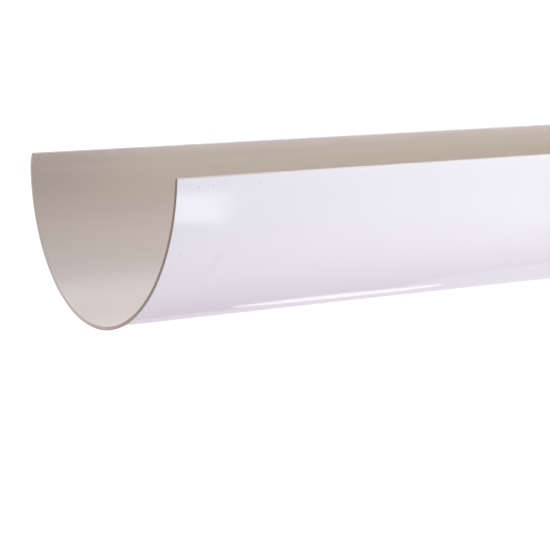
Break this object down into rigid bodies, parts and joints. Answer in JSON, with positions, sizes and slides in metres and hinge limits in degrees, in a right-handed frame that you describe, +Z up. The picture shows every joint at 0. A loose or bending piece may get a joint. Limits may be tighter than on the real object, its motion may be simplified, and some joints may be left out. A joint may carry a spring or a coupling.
{
  "type": "gutter section",
  "caption": "Straight length of deep half-elliptical rainwater gutter, open at the top, with a plain front edge and a turned-in rear edge.",
  "frame": {"origin": "under the middle of the length, on the line that the gutter rests on", "axes": "X along the length, -Y towards the plain front edge, +Y towards the turned-in rear edge, +Z up out of the open top"},
  "size_m": [2, 0.1147, 0.075],
  "materials": {
    "gutter": "glossy white outside, warm grey inside and on the cut ends"
  },
  "bodies": {
    "root": {"gutter": "gutter"}
  },
  "joints": []
}
